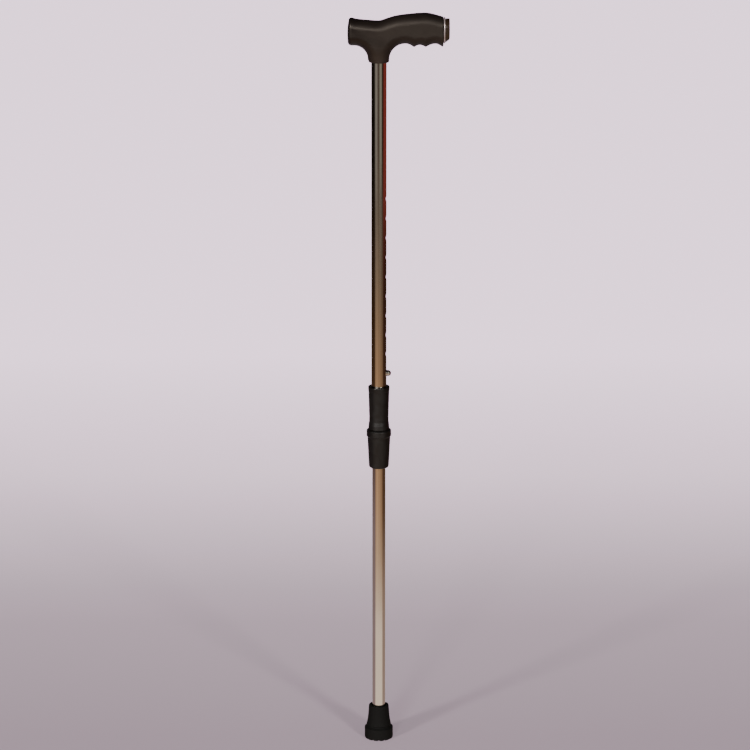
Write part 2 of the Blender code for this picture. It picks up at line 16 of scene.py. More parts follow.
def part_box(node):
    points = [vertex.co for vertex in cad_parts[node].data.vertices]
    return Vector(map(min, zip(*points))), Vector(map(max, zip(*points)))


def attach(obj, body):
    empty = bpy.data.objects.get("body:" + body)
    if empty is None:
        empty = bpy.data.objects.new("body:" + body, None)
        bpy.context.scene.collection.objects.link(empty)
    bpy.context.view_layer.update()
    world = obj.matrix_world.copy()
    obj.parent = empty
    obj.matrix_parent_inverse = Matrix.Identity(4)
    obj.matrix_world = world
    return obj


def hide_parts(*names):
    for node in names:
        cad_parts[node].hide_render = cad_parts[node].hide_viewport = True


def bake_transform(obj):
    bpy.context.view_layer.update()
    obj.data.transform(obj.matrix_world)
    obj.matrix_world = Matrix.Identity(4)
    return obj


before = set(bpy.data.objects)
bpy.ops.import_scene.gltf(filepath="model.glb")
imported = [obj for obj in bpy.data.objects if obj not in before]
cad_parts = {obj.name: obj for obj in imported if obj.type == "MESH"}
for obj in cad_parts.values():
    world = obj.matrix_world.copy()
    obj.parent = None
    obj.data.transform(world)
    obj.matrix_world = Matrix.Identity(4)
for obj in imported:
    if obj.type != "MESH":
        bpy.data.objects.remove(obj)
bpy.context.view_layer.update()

MM = 0.001
SIDES = 160  # round a turned piece
ARC_STEPS = 6  # in each rounded corner
SHARP = math.radians(40)
GAP = 0.3 * MM  # between pieces that fit into each other


def low(node):
    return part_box(node)[0]


def high(node):
    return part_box(node)[1]


def middle_z(node):
    return (low(node).z + high(node).z) / 2


UPPER_R = high("upper_tube").x
LOWER_R = high("lower_tube").x
RIM_Z = low("handle_grip").z
NOSE_X = low("handle_grip").x
PALM_X = high("handle_grip").x
BUTTON_Z = middle_z("snap_button")
SCREW_Z = middle_z("handle_screw")
SLEEVE_TOP = high("collar_sleeve").z


# ---------------------------------------------------------------- mesh tools


def piece_from(name, verts, faces):
    mesh = bpy.data.meshes.new(name)
    mesh.from_pydata([tuple(v) for v in verts], [], faces)
    mesh.update()
    made = bpy.data.objects.new(name, mesh)
    bpy.context.scene.collection.objects.link(made)
    return made


def smooth(made, angle=SHARP):
    """Outward normals and smooth shading, with edges sharper than the angle kept."""
    bm = bmesh.new()
    bm.from_mesh(made.data)
    bmesh.ops.remove_doubles(bm, verts=bm.verts, dist=1e-6)
    bmesh.ops.recalc_face_normals(bm, faces=bm.faces)
    bm.to_mesh(made.data)
    bm.free()
    made.data.shade_smooth()
    made.data.set_sharp_from_angle(angle=angle)
    return made


def rounded(points, hold=0.25 * MM):
    """An outline of (radius, height) or (radius, height, corner), with those corners turned into arcs.

    A holding point beside each arc keeps the flats beside it flat when they are shaded smooth.
    """
    outline = []
    count = len(points)
    for i, point in enumerate(points):
        here = Vector(point[:2])
        corner = point[2] if len(point) > 2 else 0.0
        if not corner:
            outline.append(here)
            continue
        before = (Vector(points[i - 1][:2]) - here).normalized()
        after = (Vector(points[(i + 1) % count][:2]) - here).normalized()
        half = before.angle(after) / 2
        reach = corner / math.tan(half)
        middle = here + (before + after).normalized() * (corner / math.sin(half))
        start = here + before * reach - middle
        turn = start.angle_signed(here + after * reach - middle)
        outline.append(here + before * (reach + hold))
        for step in range(ARC_STEPS + 1):
            spoke = start.copy()
            spoke.rotate(Matrix.Rotation(-turn * step / ARC_STEPS, 2))
            outline.append(middle + spoke)
        outline.append(here + after * (reach + hold))
    return outline


def turned(name, points, closed=True, sides=SIDES):
    """A piece turned about Z. A closed outline makes a ring; an open one starts and ends on the axis."""
    outline = rounded(points)
    count = len(outline)
    verts = []
    for k in range(sides):
        angle = 2 * math.pi * k / sides
        c, s = math.cos(angle), math.sin(angle)
        verts += [(p.x * c, p.x * s, p.y) for p in outline]
    faces = []
    for k in range(sides):
        a, b = k * count, (k + 1) % sides * count
        for i in range(count if closed else count - 1):
            j = (i + 1) % count
            faces.append((a + i, a + j, b + j, b + i))
    return smooth(piece_from(name, verts, faces))


def loft(name, rings, cap=True):
    """A solid through rings of points."""
    count = len(rings[0])
    verts = [p for ring in rings for p in ring]
    faces = []
    for k in range(len(rings) - 1):
        a, b = k * count, (k + 1) * count
        for i in range(count):
            j = (i + 1) % count
            faces.append((a + i, a + j, b + j, b + i))
    if cap:
        faces.append(tuple(range(count)))
        faces.append(tuple(range(len(verts) - count, len(verts))))
    return smooth(piece_from(name, verts, faces))


def applied(made):
    """Applies every modifier of a piece."""
    bpy.context.view_layer.objects.active = made
    for modifier in list(made.modifiers):
        bpy.ops.object.modifier_apply(modifier=modifier.name)
    return made


def cut(body, cutter, operation="DIFFERENCE"):
    modifier = body.modifiers.new("cut", "BOOLEAN")
    modifier.operation = operation
    modifier.solver = "EXACT"
    modifier.object = cutter
    applied(body)
    bpy.data.objects.remove(cutter, do_unlink=True)
    return body


def joined(name, parts):
    bm = bmesh.new()
    for part in parts:
        part.data.transform(part.matrix_world)
        bm.from_mesh(part.data)
        bpy.data.objects.remove(part, do_unlink=True)
    mesh = bpy.data.meshes.new(name)
    bm.to_mesh(mesh)
    bm.free()
    made = bpy.data.objects.new(name, mesh)
    bpy.context.scene.collection.objects.link(made)
    return made


def rod(start, end, profile, sides=48):
    """A turned solid along a line, its profile in (distance along, radius)."""
    start, end = Vector(start), Vector(end)
    turn = (end - start).to_track_quat("Z", "Y").to_matrix()
    verts = []
    for along, radius in profile:
        for k in range(sides):
            angle = 2 * math.pi * k / sides
            verts.append(start + turn @ Vector((radius * math.cos(angle), radius * math.sin(angle), along)))
    rings = [verts[i * sides:(i + 1) * sides] for i in range(len(profile))]
    return loft("rod", rings)


def superellipse(middle, half_height, half_width, sides, power):
    """Points (across, up) round a section. A power of 2 makes an ellipse, and more is squarer."""
    for i in range(sides):
        angle = 2 * math.pi * i / sides
        c, s = math.cos(angle), math.sin(angle)
        across = math.copysign(abs(c) ** (2 / power), c) * half_width
        up = math.copysign(abs(s) ** (2 / power), s) * half_height
        yield across, middle + up


def placed(made, body, slot, finish, *nodes, bend=None):
    """Gives a new piece its body and finish, and lets it stand for its CAD nodes; slot is not used.

    bend is (other body, start, end); a piece given one is left where it stands, in no body.
    """
    made.data.materials.clear()
    made.data.materials.append(finish)
    if bend:
        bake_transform(made)
    else:
        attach(made, body)
    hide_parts(*nodes)
    return made


# ---------------------------------------------------------------- finishes


class Finish:
    """A Principled material and short calls for the nodes that drive it."""

    def __init__(self, name, colour, metallic=0.0, roughness=0.5, **sockets):
        self.material = bpy.data.materials.new(name)
        self.material.use_nodes = True
        self.tree = self.material.node_tree
        self.shader = self.tree.nodes["Principled BSDF"]
        self.set("Base Color", (*colour, 1.0))
        self.set("Metallic", metallic)
        self.set("Roughness", roughness)
        for socket, value in sockets.items():
            self.set(socket.replace("_", " "), value)
        self.place = self.tree.nodes.new("ShaderNodeTexCoord").outputs["Object"]
        self.normal = None

    def set(self, socket, value):
        self.shader.inputs[socket].default_value = value

    def node(self, kind, inputs=None, **settings):
        made = self.tree.nodes.new(kind)
        for key, value in settings.items():
            setattr(made, key, value)
        for key, value in (inputs or {}).items():
            if isinstance(value, bpy.types.NodeSocket):
                self.tree.links.new(value, made.inputs[key])
            else:
                made.inputs[key].default_value = value
        return made

    def stretched(self, scale):
        return self.node("ShaderNodeMapping", {"Vector": self.place, "Scale": scale}).outputs[0]

    def noise(self, scale, detail=3.0, roughness=0.5, stretch=None, distortion=0.0):
        place = self.stretched(stretch) if stretch else self.place
        inputs = {"Vector": place, "Scale": scale, "Detail": detail, "Roughness": roughness}
        inputs["Distortion"] = distortion
        return self.node("ShaderNodeTexNoise", inputs).outputs["Fac"]

    def cells(self, scale):
        return self.node("ShaderNodeTexVoronoi", {"Vector": self.place, "Scale": scale}).outputs["Distance"]

    def between(self, factor, start, end, low_value=0.0, high_value=1.0):
        inputs = {"Value": factor, "From Min": start, "From Max": end}
        inputs.update({"To Min": low_value, "To Max": high_value})
        return self.node("ShaderNodeMapRange", inputs).outputs[0]

    def mix(self, factor, first, second):
        made = self.node("ShaderNodeMix", data_type="RGBA")
        for key, value in ((0, factor), (6, first), (7, second)):
            if isinstance(value, bpy.types.NodeSocket):
                self.tree.links.new(value, made.inputs[key])
            elif key == 0:
                made.inputs[key].default_value = value
            else:
                made.inputs[key].default_value = (*value, 1.0)
        return made.outputs[2]

    def math(self, operation, first, second=0.0):
        made = self.node("ShaderNodeMath", operation=operation)
        for key, value in enumerate((first, second)):
            if isinstance(value, bpy.types.NodeSocket):
                self.tree.links.new(value, made.inputs[key])
            else:
                made.inputs[key].default_value = value
        return made.outputs[0]

    def colour(self, socket):
        self.tree.links.new(socket, self.shader.inputs["Base Color"])

    def roughness(self, socket):
        self.tree.links.new(socket, self.shader.inputs["Roughness"])

    def bump(self, height, depth, strength=1.0):
        """Adds relief of a depth in metres, on top of any before it."""
        inputs = {"Height": height, "Distance": depth, "Strength": strength}
        if self.normal:
            inputs["Normal"] = self.normal
        self.normal = self.node("ShaderNodeBump", inputs).outputs[0]
        self.tree.links.new(self.normal, self.shader.inputs["Normal"])

    def coordinate(self, axis):
        return self.node("ShaderNodeSeparateXYZ", {"Vector": self.place}).outputs[axis]


def handle_plastic():
    """Satin brown-black plastic with a fine grain, with painted shade that darkens the nose and a painted
    highlight that lightens the neck.

    It is glossiest at the nose and dullest along the palm arm.
    """
    made = Finish("handle_plastic", (0.012, 0.0095, 0.008), roughness=0.4, Specular_IOR_Level=0.38,
                  Specular_Tint=(1.0, 0.88, 0.77, 1.0))
    cloud = made.noise(38, detail=4)
    tone = made.mix(made.between(cloud, 0.3, 0.7), (0.0064, 0.0045, 0.0039), (0.0104, 0.0074, 0.0063))
    scuffs = made.between(made.noise(160, detail=5, stretch=(0.35, 1, 2.2), distortion=0.6), 0.66, 0.80)
    tone = made.mix(made.math("MULTIPLY", scuffs, 0.25), tone, (0.06, 0.052, 0.045))
    along = made.coordinate("X")
    # Painted shade: the nose is darkened towards its end.
    tone = made.mix(made.between(along, -0.036, 0.0, 0.55, 0.0), tone, (0.0035, 0.0024, 0.0022))
    # Painted highlight: the neck is lightened near the rim, standing in for its sheen.
    neck = made.between(made.coordinate("Z"), RIM_Z + 0.008, RIM_Z + 0.026, 0.7, 0.0)
    tone = made.mix(neck, tone, (0.0210, 0.0150, 0.0115))
    made.colour(tone)
    worn = made.between(along, -0.018, 0.032, -0.03, 0.12)
    made.roughness(made.math("ADD", made.between(made.noise(75, detail=4), 0.3, 0.7, 0.36, 0.48), worn))
    made.bump(made.cells(1900), 0.00003, 0.55)
    made.bump(made.noise(700, detail=3), 0.00003, 0.5)
    made.bump(cloud, 0.0004, 0.35)
    return made.material


def collar_plastic():
    """Satin black plastic with a finer grain and faint flow marks along its length."""
    made = Finish("collar_plastic", (0.0065, 0.0055, 0.005), roughness=0.45, Specular_IOR_Level=0.36)
    flow = made.noise(90, detail=3, stretch=(1, 1, 0.2))
    made.colour(made.mix(made.between(flow, 0.3, 0.7), (0.0030, 0.0024, 0.0021), (0.0050, 0.0040, 0.0035)))
    lip = made.between(made.coordinate("Z"), SLEEVE_TOP - 0.0016, SLEEVE_TOP - 0.0004, 0.0, -0.2)
    made.roughness(made.math("ADD", made.between(made.noise(140, detail=4), 0.3, 0.7, 0.38, 0.52), lip))
    made.bump(made.cells(2400), 0.00002, 0.5)
    made.bump(flow, 0.0002, 0.25)
    return made.material


def tip_rubber():
    """Matte black rubber, speckled, with floor dust rubbed into the lowest few millimetres."""
    made = Finish("tip_rubber", (0.002, 0.002, 0.0018), roughness=0.72, Specular_IOR_Level=0.16)
    speck = made.noise(420, detail=5, roughness=0.65)
    tone = made.mix(made.between(speck, 0.35, 0.7), (0.0012, 0.0012, 0.0010), (0.0034, 0.0032, 0.0027))
    dusty = made.math("MULTIPLY", made.between(made.coordinate("Z"), 0.0, 0.006, 1.0, 0.0), speck)
    tone = made.mix(made.between(dusty, 0.35, 0.8, 0.0, 0.5), tone, (0.02, 0.018, 0.016))
    made.colour(tone)
    made.roughness(made.between(speck, 0.3, 0.7, 0.68, 0.88))
    made.bump(speck, 0.00006, 0.6)
    made.bump(made.cells(1100), 0.00004, 0.35)
    return made.material


def polished_tube():
    """Polished aluminium under a warm clear anodised layer, with drawing lines along the tube."""
    made = Finish("polished_tube", (0.80, 0.745, 0.655), metallic=1.0, roughness=0.13)
    lines = made.noise(1.0, detail=4, roughness=0.6, stretch=(1500, 1500, 9))
    stain = made.noise(26, detail=5, stretch=(1, 1, 0.35))
    made.colour(made.mix(made.between(stain, 0.35, 0.7), (0.825, 0.775, 0.69), (0.755, 0.69, 0.595)))
    made.roughness(made.between(made.math("ADD", lines, stain), 0.7, 1.3, 0.085, 0.19))
    made.bump(lines, 0.000004, 0.6)
    rubs = made.noise(1.0, detail=2, stretch=(220, 220, 950), distortion=0.4)
    made.bump(made.between(rubs, 0.62, 0.72), 0.000003, 0.5)
    return made.material


def trim_bright():
    """Bright plated trim, slightly clouded."""
    made = Finish("trim_bright", (0.66, 0.63, 0.62), metallic=0.7, roughness=0.32)
    cloud = made.noise(240, detail=5)
    made.colour(made.mix(made.between(cloud, 0.35, 0.7), (0.60, 0.50, 0.49), (0.44, 0.36, 0.35)))
    made.roughness(made.between(cloud, 0.3, 0.7, 0.26, 0.40))
    made.bump(made.noise(900, detail=2), 0.00001, 0.4)
    return made.material


def cap_bronze():
    """Glossy dark bronze plastic, with fine wiping marks."""
    made = Finish("cap_bronze", (0.022, 0.013, 0.008), metallic=0.25, roughness=0.22, Coat_Weight=0.5)
    made.set("Coat Roughness", 0.08)
    cloud = made.noise(180, detail=4)
    made.colour(made.mix(made.between(cloud, 0.3, 0.7), (0.022, 0.0125, 0.0075), (0.034, 0.0205, 0.0125)))
    made.roughness(made.between(made.noise(600, detail=4, stretch=(1, 1, 0.3)), 0.3, 0.7, 0.16, 0.32))
    made.bump(made.noise(1300, detail=2), 0.000008, 0.4)
    return made.material


def plated_steel(name, colour, roughness):
    """Zinc or nickel plated steel, lightly clouded and scratched."""
    made = Finish(name, colour, metallic=1.0, roughness=roughness)
    cloud = made.noise(500, detail=5)
    darker = tuple(c * 0.78 for c in colour)
    made.colour(made.mix(made.between(cloud, 0.35, 0.7), colour, darker))
    made.roughness(made.between(cloud, 0.3, 0.7, roughness * 0.7, roughness * 1.5))
    made.bump(made.noise(1.0, detail=3, stretch=(300, 2600, 2600)), 0.000006, 0.5)
    return made.material


def nylon():
    """Natural nylon, slightly mottled."""
    made = Finish("nylon", (0.62, 0.61, 0.57), roughness=0.5, Subsurface_Weight=0.1)
    made.set("Subsurface Radius", (0.002, 0.002, 0.0015))
    cloud = made.noise(220, detail=4)
    made.colour(made.mix(made.between(cloud, 0.3, 0.7), (0.66, 0.65, 0.61), (0.55, 0.54, 0.50)))
    made.roughness(made.between(cloud, 0.3, 0.7, 0.42, 0.58))
    made.bump(made.noise(1200, detail=3), 0.00002, 0.5)
    return made.material


# ---------------------------------------------------------------- handle

TOP_LINE_MM = ((-37, 57.1), (-28, 54.8), (-14, 53.35), (1, 52.7), (11, 55.85), (20, 58.5), (30, 60.15),
               (50, 62.05), (62, 61.95), (80.5, 57.3))
TOP_SPAN_MM = (-40.4, 81.0)  # past these the top line stays level
FINGER_LINE_MM = ((33.0, 23.6), (43.9, 19.2), (50.9, 22.0), (58.3, 19.3), (70.3, 23.5), (79.3, 19.5),
                  (82, 20.0))
HALF_WIDTHS_MM = ((-40.4, 12.4), (-20, 13.6), (0, 14.2), (22, 14.6), (50, 15.6), (64, 15.4), (80.5, 14.4))
FRONT_UNDERSIDE = 21.2 * MM
NECK_CURVE = 3.5 * MM  # above the rim, where the neck starts to spread into the arms
FRONT_FILLET = (-31.0 * MM, 17.0 * MM)  # its centre along X and its half width
REAR_FILLET = (33.0 * MM, 20.1 * MM)
FILLET_STEPS = 24
OUTLINE_RUN_MM = (-60, 100)  # the outline runs on past both ends
OUTLINE_FOOT = -20 * MM  # and below the rim
RIM_R = 12.5 * MM
RIM_EDGE = 1.1 * MM
PALM_EDGE = 1.3 * MM
NOSE_EDGE = 3.8 * MM
NOSE_DOME_R = 88 * MM
NOSE_MIDDLE = 36 * MM  # the dome's centre, above the rim
ROUNDING = 12.5 * MM  # how far in from the outline the sides become flat
NECK_FULL = 20.0 * MM  # the height above the rim where the neck is as wide as the arms
NET_STEP = 0.5 * MM
BORE_START = 22.0 * MM  # from here the palm arm is hollow
BORE_TAPER = 0.82  # its size there, as a share of its size at the end ring
BORE_MIDDLE = 40.5 * MM  # above the rim
BORE_HALF_HEIGHT = 13.8 * MM
BORE_HALF_WIDTH = 10.8 * MM
OVAL_POWER = 2.5
OVAL_SIDES = 96
SCREW_HOLE_R = 2.05 * MM


def clamped(value, span):
    return min(max(value, span[0]), span[1])


def spline(line, x):
    """The height at x of a smooth curve through a line's points."""
    last = len(line) - 2
    i = next((k for k in range(last) if x <= line[k + 1][0]), last)
    (x0, z0), (x1, z1) = line[i], line[i + 1]
    before = line[i - 1] if i > 0 else line[0]
    after = line[i + 2] if i < last else line[-1]
    slope0 = (z1 - before[1]) / (x1 - before[0])
    slope1 = (after[1] - z0) / (after[0] - x0)
    span = x1 - x0
    t = (x - x0) / span
    start = z0 * (1 + 2 * t) * (1 - t) ** 2 + slope0 * span * t * (1 - t) ** 2
    return start + z1 * t * t * (3 - 2 * t) - slope1 * span * t * t * (1 - t)


def finger_line(x):
    """The palm arm's underside: round grooves that meet at narrow ridges."""
    last = len(FINGER_LINE_MM) - 2
    i = next((k for k in range(last) if x <= FINGER_LINE_MM[k + 1][0]), last)
    (x0, z0), (x1, z1) = FINGER_LINE_MM[i], FINGER_LINE_MM[i + 1]
    t = clamped((x - x0) / (x1 - x0), (0.0, 1.0))
    if z0 < z1:
        return z0 + (z1 - z0) * math.sin(math.pi / 2 * t)
    return z1 + (z0 - z1) * math.cos(math.pi / 2 * t)


def side_outline():
    """The handle seen along Y, as (x, height above the rim), run on past both ends and below the rim."""
    nose, palm = OUTLINE_RUN_MM
    top = [(x * MM, spline(TOP_LINE_MM, clamped(x, TOP_SPAN_MM)) * MM) for x in range(nose, palm + 1)]
    quarters = range(4 * palm, int(4 * FINGER_LINE_MM[0][0]), -1)
    under = [(x * MM / 4, finger_line(x / 4) * MM) for x in quarters]
    turn = [math.pi / 2 * k / FILLET_STEPS for k in range(FILLET_STEPS + 1)]
    (x, half), rise = REAR_FILLET, FINGER_LINE_MM[0][1] * MM - NECK_CURVE
    rear = [(x - half * math.sin(t), NECK_CURVE + rise * math.cos(t)) for t in turn]
    (x, half), rise = FRONT_FILLET, FRONT_UNDERSIDE - NECK_CURVE
    front = [(x + half * math.cos(t), NECK_CURVE + rise * math.sin(t)) for t in turn]
    rim = [(RIM_R, 0.0), (RIM_R, OUTLINE_FOOT), (-RIM_R, OUTLINE_FOOT), (-RIM_R, 0.0)]
    return np.array(top + under + rear + rim + front + [(nose * MM, FRONT_UNDERSIDE)])


def depth_inside(outline, xs, heights):
    """How far inside a closed outline each point of a grid is: negative outside."""
    start, end = outline, np.roll(outline, -1, axis=0)
    along = end - start
    length = np.maximum((along ** 2).sum(axis=1), 1e-12)
    depths = np.empty((len(xs), len(heights)))
    for row, x in enumerate(xs):
        offset = np.stack([np.full(len(heights), x), heights], axis=1)[:, None, :] - start
        share = np.clip((offset * along).sum(axis=2) / length, 0, 1)
        distance = np.sqrt(((offset - share[..., None] * along) ** 2).sum(axis=2)).min(axis=1)
        straddles = (start[:, 1] > heights[:, None]) != (end[:, 1] > heights[:, None])
        rise = np.where(along[:, 1] == 0, 1.0, along[:, 1])
        meets = start[:, 0] + along[:, 0] * (heights[:, None] - start[:, 1]) / rise
        within = (straddles & (x < meets)).sum(axis=1) % 2 == 1
        depths[row] = np.where(within, distance, -distance)
    return depths


def rounded_meet(first, second, radius):
    """The field of two shapes' common part, with its edge rounded."""
    return radius - np.hypot(np.maximum(radius - first, 0), np.maximum(radius - second, 0))


def net(name, field, corner, step):
    """A surface of quads where a 3-D array of samples changes sign."""
    inside = field > 0
    shape = tuple(n - 1 for n in field.shape)
    place, count = np.zeros((*shape, 3)), np.zeros(shape)
    for a, b in itertools.combinations(itertools.product((0, 1), repeat=3), 2):
        if sum(abs(p - q) for p, q in zip(a, b)) != 1:
            continue
        first, second = (field[tuple(slice(o, o + n) for o, n in zip(c, shape))] for c in (a, b))
        crossed = (first > 0) != (second > 0)
        share = np.where(crossed, first / np.where(crossed, first - second, 1.0), 0.0)
        for axis in range(3):
            place[..., axis] += np.where(crossed, a[axis] + (b[axis] - a[axis]) * share, 0.0)
        count += crossed
    held = count > 0
    number = np.full(shape, -1)
    number[held] = np.arange(held.sum())
    verts = np.array(corner) + step * (np.argwhere(held) + place[held] / count[held][:, None])
    faces = []
    for axis in range(3):
        one = inside[tuple(slice(0, -1) if k == axis else slice(1, -1) for k in range(3))]
        two = inside[tuple(slice(1, None) if k == axis else slice(1, -1) for k in range(3))]
        cells = np.argwhere(one != two)
        ring = []
        for offset in ((0, 0), (1, 0), (1, 1), (0, 1)):
            at = cells.copy()
            at[:, (axis + 1) % 3] += offset[0]
            at[:, (axis + 2) % 3] += offset[1]
            ring.append(number[tuple(at.T)])
        faces += np.stack(ring, axis=1).tolist()
    return piece_from(name, verts, faces)


def handle_body():
    """Flat-sided arms and a round neck with the same soft shoulder all round, as one blended skin."""
    margin, half_room = 1.5 * MM, 17.0 * MM
    xs = np.arange(NOSE_X - margin, PALM_X + margin, NET_STEP)
    ys = np.arange(-half_room, half_room + 0.1 * MM, NET_STEP)
    heights = np.arange(-margin, high("handle_grip").z - RIM_Z + margin, NET_STEP)
    depth = depth_inside(side_outline(), xs, heights)
    ends = HALF_WIDTHS_MM[0][0], HALF_WIDTHS_MM[-1][0]
    arms = np.array([spline(HALF_WIDTHS_MM, clamped(x / MM, ends)) * MM for x in xs])
    share = np.clip(heights / NECK_FULL, 0, 1)
    width = RIM_R + (arms[:, None] - RIM_R) * (share * share * (3 - 2 * share))[None, :]
    shoulder = np.maximum(1 - depth / ROUNDING, 0)
    field = ROUNDING * (1 - np.hypot(shoulder[:, None, :], np.abs(ys)[None, :, None] / width[:, None, :]))
    middle = (heights - NOSE_MIDDLE)[None, None, :]
    sag = (middle ** 2 + (ys ** 2)[None, :, None]) / (2 * NOSE_DOME_R)
    field = rounded_meet(field, (xs - NOSE_X)[:, None, None] - sag, NOSE_EDGE)
    field = rounded_meet(field, (PALM_X - xs)[:, None, None], PALM_EDGE)
    field = rounded_meet(field, heights[None, None, :], RIM_EDGE)
    grip = net("grip", field, (xs[0], ys[0], RIM_Z + heights[0]), NET_STEP)
    relax = grip.modifiers.new("relax", "SMOOTH")
    relax.factor = 0.5
    relax.iterations = 4
    return smooth(applied(grip))


def oval(x, middle, half_height, half_width, sides=OVAL_SIDES):
    """A ring of points across the palm arm. The middle is a height above the rim."""
    section = superellipse(middle, half_height, half_width, sides, OVAL_POWER)
    return [(x, y, RIM_Z + z) for y, z in section]


def handle():
    """The moulded handle with its socket, palm bore and screw hole."""
    grip = handle_body()
    socket_r, depth = UPPER_R + GAP, high("upper_tube").z + GAP - RIM_Z + MM
    lead_in = (0, UPPER_R + 0.55 * MM), (1.3 * MM, socket_r)
    socket = rod((0, 0, RIM_Z - MM), (0, 0, 1), (*lead_in, (depth, socket_r)), 96)
    bore = loft("bore", [oval(x, BORE_MIDDLE, BORE_HALF_HEIGHT * taper, BORE_HALF_WIDTH * taper, 64)
                         for x, taper in ((BORE_START, BORE_TAPER), (PALM_X + MM, 1.0))])
    head_y = high("handle_screw").y
    head_r = (high("handle_screw").z - low("handle_screw").z) / 2 + GAP
    hole = rod((0, 0, SCREW_Z), (0, 1, SCREW_Z), (
        (0.5 * MM, SCREW_HOLE_R), (head_y - 2.4 * MM, SCREW_HOLE_R),
        (head_y - 0.6 * MM, head_r), (head_y + 4 * MM, head_r)))
    cut(grip, joined("grip_cutters", [socket, bore, hole]))
    smooth(grip)
    grip.name = "handle"
    return grip


def quarter(steps, radius):
    """Pairs of (along, inset) round a quarter circle, from the face's edge to the side."""
    for step in range(steps + 1):
        angle = math.pi / 2 * step / steps
        yield radius * (1 - math.cos(angle)), radius * (1 - math.sin(angle))


def end_ring():
    """The bright trim ring, with both edges rolled."""
    x0, x1 = low("handle_end_ring").x, high("handle_end_ring").x
    middle, tall, wide = 40.3 * MM, 16.2 * MM, 13.4 * MM
    edge = 0.7 * MM
    stations = [(x0 + a, i) for a, i in quarter(ARC_STEPS, edge)]
    stations += [(x1 - a, i) for a, i in reversed(list(quarter(ARC_STEPS, edge)))]
    ring = loft("handle_end_ring_trim", [oval(x, middle, tall - i, wide - i) for x, i in stations])
    hole = loft("hole", [oval(x, BORE_MIDDLE, BORE_HALF_HEIGHT, BORE_HALF_WIDTH)
                         for x in (x0 - MM, x1 + MM)])
    return smooth(cut(ring, hole))


def end_cap():
    """The glossy cap, with an underside that rises outwards and a hollow plug behind."""
    x0, x1 = PALM_X + 2.5 * MM, high("handle_end_cap").x
    top, foot_in, foot_out = 55.0 * MM, 25.0 * MM, 29.2 * MM
    wide_in, wide_out = 12.6 * MM, 12.2 * MM
    edge = 1.1 * MM
    stations = [(x0 + a, i) for a, i in quarter(ARC_STEPS, 0.5 * MM)]
    stations += [(x0 + (x1 - x0) * k / 6, 0.0) for k in range(2, 5)]
    stations += [(x1 - a, i) for a, i in reversed(list(quarter(ARC_STEPS, edge)))]
    rings = []
    for x, inset in stations:
        share = (x - x0) / (x1 - x0)
        foot = foot_in + (foot_out - foot_in) * share
        wide = wide_in + (wide_out - wide_in) * share
        rings.append(oval(x, (top + foot) / 2, (top - foot) / 2 - inset, wide - inset))
    cap = loft("cap", rings)
    plug_x = low("handle_end_cap").x
    plug = [oval(x, BORE_MIDDLE, BORE_HALF_HEIGHT - i, BORE_HALF_WIDTH - i)
            for x, i in ((plug_x, 1.4 * MM), (plug_x + MM, 1.0 * MM), (x0 + 1.2 * MM, 0.6 * MM))]
    cut(cap, loft("plug", plug), "UNION")
    hollow = loft("hollow", [oval(x, BORE_MIDDLE, 11.0 * MM, 8.0 * MM) for x in (plug_x - MM, x0)])
    cut(cap, hollow)
    cap.name = "handle_end_cap_cover"
    return smooth(cap)


def neck_screw():
    """The countersunk screw, its shank ringed like a thread, with a cross recess."""
    box_low, box_high = low("handle_screw"), high("handle_screw")
    head_r, head_y = (box_high.z - box_low.z) / 2, box_high.y
    start, shank, root = MM, 1.75 * MM, 1.75 * MM * 0.8
    face = head_y - start
    profile = [(0.0, 0.05 * MM), (1.5 * MM, root)]
    ring = 1.6 * MM
    while ring < head_y - 3.6 * MM:
        profile += [(ring, root), (ring + 0.3 * MM, shank), (ring + 0.6 * MM, root)]
        ring += 1.0 * MM
    profile += [(face - 2.2 * MM, root), (face - 0.45 * MM, head_r), (face - 0.2 * MM, head_r),
                (face, head_r - 0.25 * MM)]
    screw = rod((0, start, SCREW_Z), (0, 1, SCREW_Z), profile)
    for angle in (0, math.pi / 2):
        slot = rod((0, face, 0), (0, 1, 0), ((0, 1.9 * MM), (2 * MM, 2.2 * MM)), 4)
        slot.data.transform(Matrix.Rotation(math.pi / 4, 4, "Y"))
        slot.data.transform(Matrix.Diagonal((1, 1, 0.22, 1)))
        slot.data.transform(Matrix.Rotation(angle, 4, "Y"))
        slot.data.transform(Matrix.Translation((0, 0, SCREW_Z)))
        cut(screw, slot)
    screw.name = "neck_screw"
    return smooth(screw)


# ---------------------------------------------------------------- tubes

HOLES = 10
HOLE_PITCH = 25.4 * MM
BUTTON_R = 3.95 * MM
BUTTON_STEM_R = 1.2 * MM
HOLE_R = BUTTON_R + GAP
HOLE_BEVEL = 0.45 * MM
CUTTER_LENGTH = 4 * MM  # that a hole's cutter runs on, outside the tube
SPRING_LEG = -5.0 * MM  # along X: here the leaf follows the lower tube
BUTTON_LEG = 3.6 * MM  # and from here on it follows the button


def hole_row(heights, tube_r):
    """Cutters for punched holes along +X, with a small bevel at the tube's outside."""
    bevel_r, end = HOLE_R + HOLE_BEVEL, tube_r + CUTTER_LENGTH
    profile = ((0, HOLE_R), (tube_r - 0.55 * MM, HOLE_R), (tube_r + 0.1 * MM, bevel_r), (end, bevel_r))
    return joined("hole_row", [rod((0, 0, z), (1, 0, z), profile, 64) for z in heights])


def tube(name, node, wall, hole_heights):
    """A drawn tube with its cut ends broken and its button holes punched."""
    r, top, foot, broken = high(node).x, high(node).z, low(node).z, 0.18 * MM
    corners = ((r, top), (r, foot), (r - wall, foot), (r - wall, top))
    made = turned(name, [(*corner, broken) for corner in corners])
    return smooth(cut(made, hole_row(hole_heights, r)))


def screw_hole(start, length):
    """A cutter along +Y for the neck screw."""
    return rod((0, start, SCREW_Z), (0, 1, SCREW_Z), ((0, SCREW_HOLE_R), (length, SCREW_HOLE_R)))


def upper_tube():
    heights = [BUTTON_Z + k * HOLE_PITCH for k in range(HOLES)]
    made = tube("upper_tube_skin", "upper_tube", 0.85 * MM, heights)
    return smooth(cut(made, screw_hole(4 * MM, 10 * MM)))


